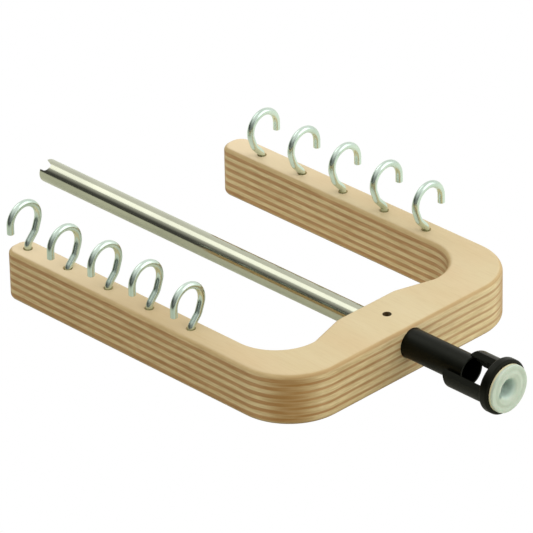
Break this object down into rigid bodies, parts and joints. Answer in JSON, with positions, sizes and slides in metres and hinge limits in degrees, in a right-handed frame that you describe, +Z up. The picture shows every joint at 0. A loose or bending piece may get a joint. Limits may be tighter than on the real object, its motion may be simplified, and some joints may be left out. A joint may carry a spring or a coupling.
{
  "type": "spinning wheel flyer",
  "caption": "U-shaped plywood spinning flyer with staggered wire hooks along both arms, a fixed steel bobbin shaft and a caged black orifice with a pull-out reducer.",
  "frame": {"origin": "under the middle of the part, level with the yoke's underside", "axes": "+X along the shaft and out of the orifice, +Y across the arms, +Z up through the plywood on the side with the hooks"},
  "size_m": [0.2104, 0.114, 0.036],
  "materials": {
    "birch_plywood": "sanded birch plywood with an oiled satin finish and visible veneer edges",
    "steel": "ground and polished steel rod",
    "pin_steel": "dull steel",
    "black_plastic": "satin black moulding",
    "white_nylon": "milky, slightly translucent nylon",
    "zinc_wire": "bright zinc-plated wire with a cool tint"
  },
  "bodies": {
    "flyer": {"yoke": "birch_plywood", "shaft": "steel", "shaft_lock_pin": "pin_steel", "orifice_tube": "black_plastic", "hook_right_1": "zinc_wire", "hook_right_2": "zinc_wire", "hook_right_3": "zinc_wire", "hook_right_4": "zinc_wire", "hook_right_5": "zinc_wire", "hook_left_1": "zinc_wire", "hook_left_2": "zinc_wire", "hook_left_3": "zinc_wire", "hook_left_4": "zinc_wire", "hook_left_5": "zinc_wire"},
    "bushing": {"orifice_bushing": "white_nylon"}
  },
  "joints": [
    {"name": "bushing_pull", "type": "slide", "parent": "flyer", "child": "bushing", "axis": [1, 0, 0], "range_m": [0, 0.02]}
  ]
}
